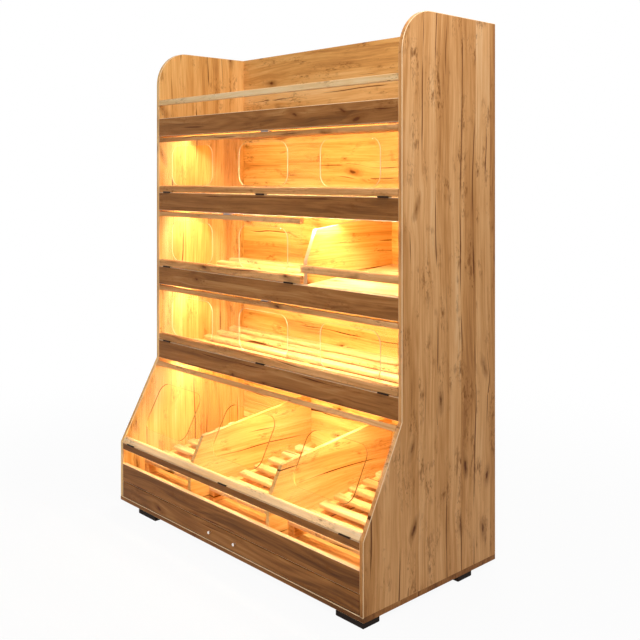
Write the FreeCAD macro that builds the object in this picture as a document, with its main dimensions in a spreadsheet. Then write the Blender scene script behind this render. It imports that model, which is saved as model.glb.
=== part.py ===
"""Bakery bread rack: three lit tiers over a leaning bin, closed by flaps with hand holes, and a drawer.

Frame: +Z up, +X to the right, -Y to the front. The origin is on the floor, at the middle of the footprint.
Every length is in millimetres and comes from the spreadsheet "Sizes".
"""
import FreeCAD, Part
import math
import operator
import os

import Sketcher

SIZES = {
    # Overall form, seen from the side: a deep foot, a leaning face, a shallower top with a rounded corner.
    "width": 1480, "depth": 700, "height": 2000, "board": 18,
    "foot_height": 19, "foot_width": 125, "foot_length": 75, "foot_inset": 150, "foot_spacing": 481,
    "foot_bevel": 3,
    "lean_depth": 184, "corner_radius": 150, "rear_recess": 13, "edge_bevel": 2, "reveal": 1,
    # Front of the foot, from the base board up.
    "drawer_bay_height": 68, "front_board_height": 76, "slot_height": 62, "bin_rail_height": 29,
    "joint": 3, "lean_height": 345,
    # Three tiers between the leaning face and the gallery.
    "gallery_height": 384, "fascia_height": 80, "flap_gap": 7, "bin_flap_gap": 14,
    "gallery_gap": 59, "gallery_rail_height": 24,
    # Flaps: battens at the bottom and the top with a clear sheet in their grooves.
    "batten_height": 28, "batten_rounding": 8, "top_batten_height": 19, "top_batten_rounding": 2,
    "sheet_thickness": 4, "sheet_depth": 9, "groove_depth": 8, "groove_play": 0.1, "side_play": 2,
    "window_width": 300, "window_radius": 45, "window_below": 31, "window_above": 39,
    "bin_window_below": 86, "bin_window_above": 86,
    # Hinges in the joint under each flap.
    "hinge_width": 48, "hinge_inset": 64, "knuckle_radius": 3.2, "knuckle_width": 12, "knuckle_play": 0.2,
    "pin_radius": 1.6, "pin_play": 0.05, "pin_reach": 3.4, "leaf_thickness": 1.2, "leaf_length": 14,
    # Catches and their strike plates.
    "catch_width": 46, "catch_depth": 15, "catch_height": 14, "catch_bevel": 2,
    "strike_width": 40, "strike_height": 12, "strike_thickness": 1.5, "seat_play": 0.3,
    # Light channels under the shelves.
    "channel_width": 16, "channel_height": 10, "channel_wall": 1.2, "channel_back": 130,
    "channel_end": 20, "diffuser_width": 5, "diffuser_thickness": 1.5,
    # Slatted grates on wedge cleats.
    "slat_width": 36, "slat_thickness": 16, "slat_rounding": 5, "slat_play": 1.5, "cleat_width": 30,
    "slat_front": 21, "slat_rise": 2, "slat_back": 84, "slat_fall": 0.147,
    "bin_slat_front": 110, "bin_slat_rise": 42, "bin_slat_back": 92.2, "bin_slat_fall": 0.1435,
    # Dividers.
    "divider_step": 152, "divider_rise": 47, "divider_bevel": 48, "divider_back_play": 1,
    "bin_divider_front": 388, "bin_divider_back": 461,
    # Open bay at the right of the middle tier.
    "bay_floor_front": 1, "bay_floor_fall": 0.0963, "bay_rail_low": 44,
    # Drawer.
    "drawer_reveal": 2, "drawer_side": 15, "drawer_side_height": 50, "drawer_side_low": 8,
    "drawer_length": 450, "drawer_bottom": 6, "drawer_bottom_low": 4,
    "runner_depth": 12.7, "runner_height": 35, "runner_wall": 1.2, "runner_lip": 9.8, "runner_play": 0.3,
    "pull_spacing": 154, "pull_reach": 12, "pull_radius": 6, "pull_neck": 4, "pull_head": 6,
    "pull_bevel": 1.5,
    # Light driver and the gland for its lead.
    "driver_width": 180, "driver_length": 60, "driver_height": 30, "driver_rounding": 4,
    "driver_side": 42, "driver_back": 60,
    "gland_radius": 10, "gland_nut": 15, "gland_nut_thickness": 4, "gland_bore": 4, "gland_up": 34,
}

COMBINE = {"+": operator.add, "-": operator.sub, "*": operator.mul, "/": operator.truediv}
TIERS = 3
TIER_SLATS = 6
BIN_SLATS = 7
BARREL_SIDES = 12
BORE_SIDES = 6
NUT_SIDES = 6
NEAR = 0.01
NODES = []


class Size:
    """A length that keeps both its number and the spreadsheet formula that gives it."""

    def __init__(self, number, formula):
        self.number = float(number)
        self.formula = formula

    def joined(self, sign, other):
        other = as_size(other)
        return Size(COMBINE[sign](self.number, other.number), f"({self.formula} {sign} {other.formula})")

    def __add__(self, other):
        return self.joined("+", other)

    def __sub__(self, other):
        return self.joined("-", other)

    def __mul__(self, other):
        return self.joined("*", other)

    def __truediv__(self, other):
        return self.joined("/", other)

    def __radd__(self, other):
        return as_size(other).joined("+", self)

    def __rsub__(self, other):
        return as_size(other).joined("-", self)

    def __rmul__(self, other):
        return as_size(other).joined("*", self)

    def __neg__(self):
        return -1 * self


def as_size(value):
    """Takes a plain number for a size with no formula of its own."""
    return value if isinstance(value, Size) else Size(value, f"({value})")


def root(size):
    return Size(math.sqrt(size.number), f"sqrt({size.formula})")


def slope_angle(ratio):
    """The angle in degrees whose tangent is the ratio."""
    return Size(math.degrees(math.atan(ratio.number)), f"atan({ratio.formula})")


class Sheet:
    """The spreadsheet of driving dimensions, whose cells are read as sizes: sheet.width, sheet.board."""

    def __init__(self, document, values):
        cells = document.addObject("Spreadsheet::Sheet", "Sizes")
        for row, (alias, value) in enumerate(values.items(), 1):
            cells.set(f"A{row}", alias)
            cells.set(f"B{row}", str(value))
            cells.setAlias(f"B{row}", alias)
        document.recompute()
        for alias in values:
            setattr(self, alias, Size(cells.get(alias), f"Sizes.{alias}"))


doc = FreeCAD.newDocument("BreadRack")
size = Sheet(doc, SIZES)


# Ways of building --------------------------------------------------------------------------------------

def bind(thing, name, value):
    thing.setExpression(name, as_size(value).formula)


def place(thing, across, back, up, tilt=None):
    """Puts a thing's origin at a point, leaned back about the X axis by the tilt."""
    if tilt is not None:
        thing.Placement = FreeCAD.Placement(FreeCAD.Vector(), FreeCAD.Rotation(FreeCAD.Vector(1, 0, 0), 1))
        bind(thing, "Placement.Rotation.Angle", tilt)
    bind(thing, "Placement.Base.x", across)
    bind(thing, "Placement.Base.y", back)
    bind(thing, "Placement.Base.z", up)
    return thing


def node(label, thing):
    """Names a finished sub-part, which is then written to a file of that name."""
    thing.Label = label
    NODES.append(thing)
    return thing


def block(left, right, front, back, low, top):
    """A plain board with square edges between six planes."""
    box = doc.addObject("Part::Box", "Block")
    bind(box, "Length", right - left)
    bind(box, "Width", back - front)
    bind(box, "Height", top - low)
    return place(box, left, front, low)


def round_bar(name, radius):
    """An upright round bar, whose length is still to be set."""
    bar = doc.addObject("Part::Cylinder", name)
    bind(bar, "Radius", radius)
    return bar


def origin_part(body, role):
    return next(part for part in body.Origin.OriginFeatures if part.Role == role)


def new_sketch(body, plane):
    sketch = body.newObject("Sketcher::SketchObject", "Outline")
    sketch.AttachmentSupport = [(origin_part(body, plane), "")]
    sketch.MapMode = "FlatFace"
    return sketch


def fix(sketch, kind, geometry, point, value):
    """Holds one coordinate of a sketch point at a size, measured from the sketch's origin."""
    value = as_size(value)
    index = sketch.addConstraint(Sketcher.Constraint(kind, -1, 1, geometry, point, value.number))
    sketch.setExpression(f"Constraints[{index}]", value.formula)


def draw_polygon(sketch, corners):
    """A closed outline of straight lines, with each corner held at its two sizes."""
    first = sketch.GeometryCount
    points = [FreeCAD.Vector(as_size(x).number, as_size(y).number, 0) for x, y in corners]
    lines = [Part.LineSegment(start, end) for start, end in zip(points, points[1:] + points[:1])]
    sketch.addGeometry(lines, False)
    for index, (x, y) in enumerate(corners):
        line = first + index
        before = first + (index - 1) % len(corners)
        sketch.addConstraint(Sketcher.Constraint("Coincident", before, 2, line, 1))
        fix(sketch, "DistanceX", line, 1, x)
        fix(sketch, "DistanceY", line, 1, y)


def draw_rounded(sketch, left, low, right, top, radius):
    """A closed rectangle with its four corners rounded."""
    x0, y0, x1, y1, r = (as_size(value).number for value in (left, low, right, top, radius))
    point = FreeCAD.Vector
    up = point(0, 0, 1)
    quarter = math.pi / 2
    first = sketch.GeometryCount
    sketch.addGeometry([
        Part.LineSegment(point(x0 + r, y0, 0), point(x1 - r, y0, 0)),
        Part.ArcOfCircle(Part.Circle(point(x1 - r, y0 + r, 0), up, r), -quarter, 0),
        Part.LineSegment(point(x1, y0 + r, 0), point(x1, y1 - r, 0)),
        Part.ArcOfCircle(Part.Circle(point(x1 - r, y1 - r, 0), up, r), 0, quarter),
        Part.LineSegment(point(x1 - r, y1, 0), point(x0 + r, y1, 0)),
        Part.ArcOfCircle(Part.Circle(point(x0 + r, y1 - r, 0), up, r), quarter, 2 * quarter),
        Part.LineSegment(point(x0, y1 - r, 0), point(x0, y0 + r, 0)),
        Part.ArcOfCircle(Part.Circle(point(x0 + r, y0 + r, 0), up, r), 2 * quarter, 3 * quarter),
    ], False)
    for step in range(8):
        sketch.addConstraint(Sketcher.Constraint("Tangent", first + step, 2, first + (step + 1) % 8, 1))
    for line in (first, first + 4):
        sketch.addConstraint(Sketcher.Constraint("Horizontal", line))
    for line in (first + 2, first + 6):
        sketch.addConstraint(Sketcher.Constraint("Vertical", line))
    for arc in (first + 3, first + 5, first + 7):
        sketch.addConstraint(Sketcher.Constraint("Equal", first + 1, arc))
    index = sketch.addConstraint(Sketcher.Constraint("Radius", first + 1, r))
    sketch.setExpression(f"Constraints[{index}]", as_size(radius).formula)
    fix(sketch, "DistanceY", first, 1, low)
    fix(sketch, "DistanceX", first + 2, 1, right)
    fix(sketch, "DistanceY", first + 4, 1, top)
    fix(sketch, "DistanceX", first + 6, 1, left)


def pad(body, sketch, length, reverse=False):
    feature = body.newObject("PartDesign::Pad", "Pad")
    feature.Profile = sketch
    feature.Reversed = reverse
    bind(feature, "Length", length)
    doc.recompute()
    return feature


def extrusion(corners, length, plane="YZ_Plane", reverse=False):
    """A body of one outline drawn out straight. In the YZ plane it runs along +X."""
    body = doc.addObject("PartDesign::Body", "Body")
    sketch = new_sketch(body, plane)
    draw_polygon(sketch, corners)
    pad(body, sketch, length, reverse)
    return body


def along_x_at(y, z):
    """A test for the edges that run along X at a place of the YZ outline."""
    y, z = as_size(y).number, as_size(z).number
    return lambda edge: all(
        abs(vertex.Point.y - y) < NEAR and abs(vertex.Point.z - z) < NEAR for vertex in edge.Vertexes)


def soften(body, kind, value, *tests):
    """Rounds or bevels the body's edges that pass one of the tests. The kind is Fillet or Chamfer."""
    base = body.Tip
    names = [
        f"Edge{index}" for index, edge in enumerate(base.Shape.Edges, 1)
        if any(wanted(edge) for wanted in tests)
    ]
    feature = body.newObject(f"PartDesign::{kind}", kind)
    feature.Base = (base, names)
    bind(feature, "Radius" if kind == "Fillet" else "Size", value)
    doc.recompute()
    return feature


def copies(source, places):
    """The same piece at several places, kept as separate solids in one sub-part."""
    links = []
    for across, back, up in places:
        link = doc.addObject("App::Link", "Copy")
        link.LinkedObject = source
        links.append(place(link, across, back, up))
    group = doc.addObject("Part::Compound", "Group")
    group.Links = links
    return group


def together(things):
    """Several pieces kept as separate solids in one sub-part."""
    group = doc.addObject("Part::Compound", "Group")
    group.Links = things
    return group


# Planes and heights that several pieces share ----------------------------------------------------------

half_width = size.width / 2
inner = half_width - size.board
front = (size.pull_reach - size.reveal - size.depth) / 2
face = front + size.lean_depth
rear = front + size.depth
back_face = rear - size.rear_recess - size.board
foot_face = front + size.reveal
tier_face = face + size.reveal
tier_back = tier_face + size.board

base_top = size.foot_height + size.board
bay_top = base_top + size.drawer_bay_height
slot_low = bay_top + size.front_board_height
slot_top = slot_low + size.slot_height
lean_low = slot_top + size.bin_rail_height + size.joint
lean_top = lean_low + size.lean_height

lean_ratio = size.lean_depth / size.lean_height
lean_length = root(size.lean_depth * size.lean_depth + size.lean_height * size.lean_height)
lean_tilt = -slope_angle(lean_ratio)
lean_cosine = size.lean_height / lean_length

tier_pitch = (size.height - size.gallery_height - lean_top) / TIERS
compartment = (2 * inner - 2 * size.board) / 3
divider_left = compartment / 2
divider_right = divider_left + size.board
window_pitch = 2 * inner / 3

gland_across = inner - size.driver_side - size.driver_width / 2
gland_height = base_top + size.gland_up


def fascia_low(number):
    """Underside of fascia 1 to 4, counted from the top. The shelf behind it is level with it."""
    return lean_top + (TIERS + 1 - number) * tier_pitch


def fascia_top(number):
    return fascia_low(number) + size.fascia_height


# Carcass -----------------------------------------------------------------------------------------------

def front_board(label, left, right, low, height, board_face):
    """A board seen from the front, with its two long front edges bevelled."""
    corners = [(0, 0), (size.board, 0), (size.board, height), (0, height)]
    body = place(extrusion(corners, right - left), left, board_face, low)
    soften(body, "Chamfer", size.edge_bevel, along_x_at(0, 0), along_x_at(0, height))
    return node(label, body)


def side_panel(label, left):
    """Deep at the foot, leaning back to the tiers, and rounded at its top front corner."""
    lean_start = lean_low - base_top
    lean_end = lean_top - base_top
    top = size.height - base_top
    corners = [
        (0, 0), (size.depth, 0), (size.depth, top), (size.lean_depth, top),
        (size.lean_depth, lean_end), (0, lean_start),
    ]
    body = place(extrusion(corners, size.board), left, front, base_top)
    soften(body, "Fillet", size.corner_radius, along_x_at(size.lean_depth, top))
    soften(body, "Chamfer", size.edge_bevel, is_rim)
    return node(label, body)


def is_rim(edge):
    """Whether an edge of a side panel runs along its front or its top, in one of its two faces."""
    middle = edge.valueAt((edge.FirstParameter + edge.LastParameter) / 2)
    in_a_face = abs(edge.Vertexes[0].Point.x - edge.Vertexes[-1].Point.x) < NEAR
    return in_a_face and middle.z > NEAR and middle.y < size.depth.number - NEAR


def carcass():
    corners = [(0, 0), (size.depth, 0), (size.depth, size.board), (0, size.board)]
    base = place(extrusion(corners, size.width), -half_width, front, size.foot_height)
    soften(base, "Chamfer", size.edge_bevel, along_x_at(0, 0), along_x_at(0, size.board))
    node("base_board", base)
    side_panel("side_panel_left", -half_width)
    side_panel("side_panel_right", inner)

    for number in (1, 2, 3, 4):
        low = fascia_low(number)
        front_board(f"fascia_{number}", -inner, inner, low, size.fascia_height, tier_face)
        shelf = block(-inner, inner, tier_back, back_face, low, low + size.board)
        node(f"shelf_{number}", shelf)
    gallery_low = fascia_top(1) + size.gallery_gap
    front_board("gallery_rail", -inner, inner, gallery_low, size.gallery_rail_height, tier_face)

    front_board("bin_front_board", -inner, inner, bay_top, size.front_board_height, foot_face)
    front_board("bin_rail", -inner, inner, slot_top, size.bin_rail_height, foot_face)
    node("drawer_ceiling",
         block(-inner, inner, foot_face + size.board, back_face, bay_top, bay_top + size.board))


def through_back(bar, start, length):
    """Lays an upright bar along Y where the lights' lead passes the back panel."""
    bind(bar, "Height", length)
    bar.Placement = FreeCAD.Placement(FreeCAD.Vector(), FreeCAD.Rotation(FreeCAD.Vector(1, 0, 0), -90))
    return place(bar, gland_across, start, gland_height)


def back_panel():
    """Full height, set in from the panels' rear edges, with a hole for the lead's gland."""
    cut = doc.addObject("Part::Cut", "Cut")
    cut.Base = block(-inner, inner, back_face, back_face + size.board, base_top, size.height)
    cut.Tool = through_back(
        round_bar("GlandHole", size.gland_radius), back_face - size.board, 3 * size.board)
    node("back_panel", cut)


def on_the_floor(edge):
    return all(vertex.Point.z < NEAR for vertex in edge.Vertexes)


def feet():
    foot = extrusion(
        [(0, 0), (size.foot_length, 0), (size.foot_length, size.foot_height), (0, size.foot_height)],
        size.foot_width)
    soften(foot, "Chamfer", size.foot_bevel, on_the_floor)
    lefts = (-half_width + size.foot_inset, half_width - size.foot_width)
    fronts = (front, front + size.foot_spacing)
    node("feet", copies(foot, [(left, back, 0) for left in lefts for back in fronts]))


# Dividers ----------------------------------------------------------------------------------------------

def tier2_divider():
    """Stands on shelf 3: low in front, bevelled up, then rising gently to the shelf above."""
    floor = fascia_low(3) + size.board
    step = size.divider_step
    ceiling = fascia_low(2) - floor - size.divider_back_play
    corner = ceiling - size.divider_rise
    corners = [
        (0, 0), (back_face - tier_back, 0), (back_face - tier_back, ceiling),
        (size.divider_bevel, corner), (0, step),
    ]
    node("tier2_divider", place(extrusion(corners, size.board), divider_left, tier_back, floor))


def bin_dividers():
    """Stand on the bin's floor behind the rail. Their sloped front is the rest of the closed flap."""
    floor = bay_top + size.board
    start = foot_face + size.board
    rest = size.reveal + (size.board + size.seat_play) / lean_cosine
    low_front = lean_low - (rest - size.reveal - size.board) / lean_ratio
    high_front = size.bin_divider_front
    length = back_face - start
    corners = [
        (0, 0), (length, 0), (length, size.bin_divider_back - floor),
        (rest - size.reveal - size.board + (high_front - lean_low) * lean_ratio, high_front - floor),
        (0, low_front - floor),
    ]
    divider = extrusion(corners, size.board)
    node("bin_dividers", copies(divider, [(-divider_right, start, floor), (divider_left, start, floor)]))


# Slatted grates ----------------------------------------------------------------------------------------

def slat_row(left, right, first, low, pitch, fall, total):
    """Slats with rounded upper edges across the rack, one behind the other, rising to the back."""
    wide = size.slat_width
    thick = size.slat_thickness
    body = extrusion([(0, 0), (wide, 0), (wide, thick), (0, thick)], right - left - 2 * size.slat_play)
    soften(body, "Fillet", size.slat_rounding, along_x_at(0, thick), along_x_at(wide, thick))
    row = body.newObject("PartDesign::LinearPattern", "Row")
    row.TransformMode = "Whole shape"
    row.Direction = (origin_part(body, "Y_Axis"), [""])
    bind(row, "Length", (total - 1) * pitch)
    bind(row, "Occurrences", total)
    body.Tip = row
    return place(body, left + size.slat_play, first, low, slope_angle(fall))


def cleat(left, first, last, floor, rise, fall):
    """A wedge on edge along the rack's depth, whose sloping top carries the ends of the slats."""
    corners = [(0, 0), (last - first, 0), (last - first, rise + (last - first) * fall), (0, rise)]
    return place(extrusion(corners, size.cleat_width), left, first, floor)


def tier_grate(number, left, right, cleats):
    """A tier's row of slats on its shelf. The wedges start behind the fascia."""
    floor = fascia_low(number + 1) + size.board
    first = face + size.slat_front
    start = tier_back + size.seat_play
    rise = size.slat_rise - (first - start) * size.slat_fall
    pitch = (back_face - size.slat_back - first) / (TIER_SLATS - 1)
    node(f"tier{number}_slats",
         slat_row(left, right, first, floor + size.slat_rise, pitch, size.slat_fall, TIER_SLATS))
    return [cleat(spot, start, back_face, floor, rise, size.slat_fall) for spot in cleats]


def bin_grates():
    """Three short rows, one in each compartment of the bin."""
    floor = bay_top + size.board
    first = front + size.bin_slat_front
    pitch = (back_face - size.bin_slat_back - first) / (BIN_SLATS - 1)
    rows = []
    cleats = []
    for left, right in ((-inner, -divider_right), (-divider_left, divider_left), (divider_right, inner)):
        rows.append(slat_row(left, right, first, floor + size.bin_slat_rise, pitch, size.bin_slat_fall,
                             BIN_SLATS))
        for spot in (left, right - size.cleat_width):
            cleats.append(cleat(spot, first, back_face, floor, size.bin_slat_rise, size.bin_slat_fall))
    node("bin_slats", together(rows))
    return cleats


def grates():
    end = inner - size.cleat_width
    middle = -size.cleat_width / 2
    cleats = tier_grate(1, -inner, inner, (-inner, middle, end))
    cleats += tier_grate(2, -inner, divider_left,
                         (-inner, middle - divider_left, divider_left - size.cleat_width))
    cleats += tier_grate(3, -inner, inner, (-inner, middle, end))
    return cleats + bin_grates()


def open_bay():
    """The right third of the middle tier: a solid sloping floor and a fixed rail across its front."""
    shelf = fascia_low(3) + size.board
    lip = fascia_top(3) + size.bay_floor_front
    start = tier_back + size.seat_play
    length = back_face - start
    top_rise = length * size.bay_floor_fall
    corners = [(0, -size.board), (length, top_rise - size.board), (length, top_rise), (0, 0)]
    floor = extrusion(corners, inner - divider_right)
    node("bay_floor", place(floor, divider_right, start, lip))
    under = lip - size.board - shelf
    sides = (divider_right, inner - size.cleat_width)
    rail = batten(inner - divider_left, size.batten_height, size.batten_rounding, groove=None)
    node("bay_rail", place(rail, divider_left, tier_face, fascia_top(3) + size.bay_rail_low))
    return [cleat(left, start, back_face, shelf, under, size.bay_floor_fall) for left in sides]


# Flaps -------------------------------------------------------------------------------------------------

def batten(length, height, rounding, groove, undercut=0):
    """A wooden strip with a rounded upper front edge. The groove is at its top, its foot or nowhere.

    The undercut raises the foot's rear edge, where the strip leans back over a level board.
    """
    near = size.sheet_depth - size.groove_play
    far = size.sheet_depth + size.sheet_thickness + size.groove_play
    deep = size.groove_depth
    corners = [(0, 0)]
    if groove == "foot":
        corners += [(near, 0), (near, deep), (far, deep), (far, 0)]
    corners += [(size.board, undercut), (size.board, height)]
    if groove == "top":
        corners += [(far, height), (far, height - deep), (near, height - deep), (near, height)]
    corners += [(0, height)]
    body = extrusion(corners, length)
    soften(body, "Fillet", rounding, along_x_at(0, height))
    return body


def clear_sheet(length, height, centres, window_low, window_height):
    """A clear sheet with a row of rounded hand holes. Its near face is the sketch plane."""
    body = doc.addObject("PartDesign::Body", "Sheet")
    sketch = new_sketch(body, "XZ_Plane")
    draw_polygon(sketch, [(0, 0), (length, 0), (length, height), (0, height)])
    for centre in centres:
        draw_rounded(sketch, centre - size.window_width / 2, window_low,
                     centre + size.window_width / 2, window_low + window_height, size.window_radius)
    pad(body, sketch, size.sheet_thickness, reverse=True)
    return body


def flap(name, left, right, flap_face, low, height, centres, window, tilt=None, undercut=0):
    """One flap: two battens and a clear sheet. Its foot's front edge is the line that places it.

    The window is how much of the flap is left below and above its hand holes.
    """
    length = right - left
    bottom = batten(length, size.batten_height, size.batten_rounding, "top", undercut)
    node(f"{name}_bottom_batten", place(bottom, left, flap_face, low, tilt))
    sine = size.lean_depth / lean_length if tilt is not None else 0
    cosine = lean_cosine if tilt is not None else 1

    def up_the_flap(along, deep):
        """The place of a point that lies so far up the flap and so deep behind its face."""
        return flap_face + sine * along + cosine * deep, low + cosine * along - sine * deep

    top_low = height - size.top_batten_height
    top = batten(length, size.top_batten_height, size.top_batten_rounding, "foot")
    node(f"{name}_top_batten", place(top, left, *up_the_flap(top_low, 0), tilt))
    sheet_low = size.batten_height - size.groove_depth
    below, above = window
    sheet = clear_sheet(length, top_low + size.groove_depth - sheet_low - size.groove_play,
                        [centre - left for centre in centres], below - sheet_low, height - above - below)
    node(f"{name}_sheet", place(sheet, left, *up_the_flap(sheet_low, size.sheet_depth), tilt))


def strike(name, centre, low):
    """The steel plate behind a flap's top batten that meets the catch."""
    plate = block(centre - size.strike_width / 2, centre + size.strike_width / 2,
                  tier_back, tier_back + size.strike_thickness, low, low + size.strike_height)
    node(f"{name}_strike_plate", plate)


def flaps():
    flap_left = -inner + size.side_play
    thirds = (-window_pitch, as_size(0), window_pitch)
    height = tier_pitch - size.fascia_height - size.joint - size.flap_gap
    window = (size.window_below, size.window_above)
    catches = []
    for number, right, centres in ((1, inner, thirds), (2, divider_left, thirds[:2]), (3, inner, thirds)):
        name = f"tier{number}_flap"
        low = fascia_top(number + 1) + size.joint
        flap(name, flap_left, right - size.side_play, tier_face, low, height, centres, window)
        middle = (flap_left + right - size.side_play) / 2
        strike(name, middle, low + height - size.strike_height)
        catches.append((middle, fascia_low(number)))
    bin_height = lean_length - size.bin_flap_gap
    flap("bin_flap", flap_left, -flap_left, foot_face, lean_low, bin_height, thirds,
         (size.bin_window_below, size.bin_window_above), lean_tilt, size.board * lean_ratio)
    return catches


def magnetic_catches(spots):
    """White catches under the shelves, each just behind a closed flap's strike plate."""
    corners = [(0, 0), (size.catch_depth, 0), (size.catch_depth, size.catch_height), (0, size.catch_height)]
    catch = extrusion(corners, size.catch_width)
    soften(catch, "Chamfer", size.catch_bevel, along_x_at(0, 0), along_x_at(size.catch_depth, 0))
    back = tier_back + size.strike_thickness + size.seat_play
    node("magnetic_catches", copies(catch, [
        (middle - size.catch_width / 2, back, ceiling - size.catch_height) for middle, ceiling in spots]))


# Hinges ------------------------------------------------------------------------------------------------

def along_x(bar, left, right):
    """Lays an upright bar along X, centred on the local origin's axis."""
    bind(bar, "Height", right - left)
    bar.Placement = FreeCAD.Placement(FreeCAD.Vector(), FreeCAD.Rotation(FreeCAD.Vector(0, 1, 0), 90))
    bind(bar, "Placement.Base.x", left)
    return bar


def barrel(sides, radius, left, right):
    """A bar with flat sides, near enough round at a knuckle's size. The radius reaches its corners."""
    bar = doc.addObject("Part::Prism", "Barrel")
    bar.Polygon = sides
    bind(bar, "Circumradius", radius)
    return along_x(bar, left, right)


def leaf(knuckles, low, top):
    """A hinge leaf about the pin's axis: a plate in the joint, and knuckles reached by narrow tongues."""
    half = size.hinge_width / 2
    plate_front = size.pin_reach + size.knuckle_play
    pieces = [block(-half, half, plate_front, plate_front + size.leaf_length, low, top)]
    for left, right in knuckles:
        pieces.append(barrel(BARREL_SIDES, size.knuckle_radius, left, right))
        pieces.append(block(left, right, 0, plate_front, low, top))
    whole = doc.addObject("Part::MultiFuse", "Leaf")
    whole.Shapes = pieces
    bored = doc.addObject("Part::Cut", "BoredLeaf")
    bored.Base = whole
    bore_corner = (size.pin_radius + size.pin_play) / math.cos(math.pi / BORE_SIDES)
    bored.Tool = barrel(BORE_SIDES, bore_corner, -size.hinge_width, size.hinge_width)
    return bored


def hinge_lines():
    """For each flap its name, the height of its pins' axis, their distance back and where they stand."""
    ends = inner - size.side_play - size.hinge_inset
    tier_axis = tier_face - size.pin_reach
    all_three = (-ends, as_size(0), ends)
    lines = []
    for number in (1, 2, 3):
        axis_height = fascia_top(number + 1) + size.joint / 2
        spots = all_three
        if number == 2:
            spots = (-ends, divider_left - size.side_play - size.hinge_inset)
        lines.append((f"tier{number}_flap", tier_axis, axis_height, spots))
    lines.append(("bin_flap", foot_face - size.pin_reach, lean_low - size.joint / 2, all_three))
    return lines


def hinges():
    """Leaves lie in the joint under each flap, and the knuckles stand in front of it."""
    half = size.hinge_width / 2
    inside = half - size.knuckle_width
    gap = size.joint / 2
    fixed = leaf([(-half, -inside), (inside, half)], -gap, size.leaf_thickness - gap)
    moving = leaf([(size.knuckle_play - inside, inside - size.knuckle_play)], gap - size.leaf_thickness, gap)
    pin = along_x(round_bar("Pin", size.pin_radius), -half, half)
    everywhere = []
    for name, back, up, spots in hinge_lines():
        here = [(across, back, up) for across in spots]
        node(f"{name}_hinge_leaves", copies(moving, here))
        everywhere += here
    node("fixed_hinge_leaves", copies(fixed, everywhere))
    carried = doc.addObject("Part::Compound", "Pin")
    carried.Links = [pin]
    node("hinge_pins", copies(carried, everywhere))


# Lighting ----------------------------------------------------------------------------------------------

def lighting():
    """Under each shelf a narrow light strip in a channel whose tall rear wall keeps its glare off the back.

    The driver stands on the base behind the drawer.
    """
    width = size.channel_width
    deep = size.channel_height
    wall = size.channel_wall
    high = deep - wall
    low = high - size.diffuser_thickness
    long = 2 * (inner - size.channel_end)
    channel = extrusion([
        (0, low), (wall, low), (wall, high), (width - wall, high), (width - wall, 0),
        (width, 0), (width, deep), (0, deep)], long)
    strip_back = wall + size.diffuser_width
    strip = extrusion([(wall, low), (strip_back, low), (strip_back, high), (wall, high)], long)
    spots = [
        (size.channel_end - inner, tier_face + size.channel_back, fascia_low(number) - deep)
        for number in (1, 2, 3, 4)
    ]
    node("light_channels", copies(channel, spots))
    node("light_diffusers", copies(strip, spots))

    length = size.driver_length
    tall = size.driver_height
    driver = extrusion([(0, 0), (length, 0), (length, tall), (0, tall)], size.driver_width)
    soften(driver, "Fillet", size.driver_rounding, along_x_at(0, tall), along_x_at(length, tall))
    driver_left = inner - size.driver_side - size.driver_width
    node("light_driver", place(driver, driver_left, back_face - size.driver_back - length, base_top))


def cable_gland():
    """A bush through the back panel, with a nut behind it, where the lights' lead would leave."""
    nut = doc.addObject("Part::Prism", "GlandNut")
    nut.Polygon = NUT_SIDES
    bind(nut, "Circumradius", size.gland_nut)
    whole = doc.addObject("Part::MultiFuse", "Gland")
    whole.Shapes = [
        through_back(round_bar("GlandBush", size.gland_radius), back_face, size.board),
        through_back(nut, back_face + size.board, size.gland_nut_thickness)]
    cut = doc.addObject("Part::Cut", "BoredGland")
    cut.Base = whole
    cut.Tool = through_back(round_bar("GlandBore", size.gland_bore), back_face - size.board, 3 * size.board)
    node("cable_gland", cut)


# Drawer ------------------------------------------------------------------------------------------------

def drawer():
    """A full-width tray on a pair of runners, with a bevelled front and two button pulls."""
    front_half = inner - size.drawer_reveal
    front_low = base_top + size.drawer_reveal
    front_height = size.drawer_bay_height - 2 * size.drawer_reveal
    front_board("drawer_front", -front_half, front_half, front_low, front_height, foot_face)

    outside = inner - size.runner_depth
    inside = outside - size.drawer_side
    start = foot_face + size.board
    end = start + size.drawer_length
    low = base_top + size.drawer_side_low
    top = low + size.drawer_side_height
    sides = [block(-outside, -inside, start, end, low, top), block(inside, outside, start, end, low, top)]
    node("drawer_sides", together(sides))
    node("drawer_back", block(-inside, inside, end - size.drawer_side, end, low, top))
    tray_low = low + size.drawer_bottom_low
    node("drawer_bottom",
         block(-inside, inside, start, end - size.drawer_side, tray_low, tray_low + size.drawer_bottom))
    runners(start, low + (size.drawer_side_height - size.runner_height) / 2)
    pulls(front_low + front_height / 2)


def runner_outline(side, corners):
    """Mirrors an outline, drawn inwards from the right panel, to either side of the rack."""
    return [(-side * inward, up) for inward, up in corners]


def runners(start, low):
    """A C channel on each side panel, and a slimmer one that rides in it on the drawer's side."""
    wall = size.runner_wall
    high = size.runner_height
    lip = size.runner_lip
    play = size.runner_play
    deep = size.runner_depth
    shell = [(0, 0), (lip, 0), (lip, wall), (wall, wall), (wall, high - wall), (lip, high - wall),
             (lip, high), (0, high)]
    first = wall + play
    second = high - wall - play
    slide = [(deep, first), (first, first), (first, first + wall), (deep - wall, first + wall),
             (deep - wall, second - wall), (first, second - wall), (first, second), (deep, second)]
    for label, outline in (("runner_channels", shell), ("drawer_slides", slide)):
        pair = []
        for side in (-1, 1):
            body = extrusion(runner_outline(side, outline), size.drawer_length, "XZ_Plane", reverse=True)
            pair.append(place(body, side * inner, start, low))
        node(label, together(pair))


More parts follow.
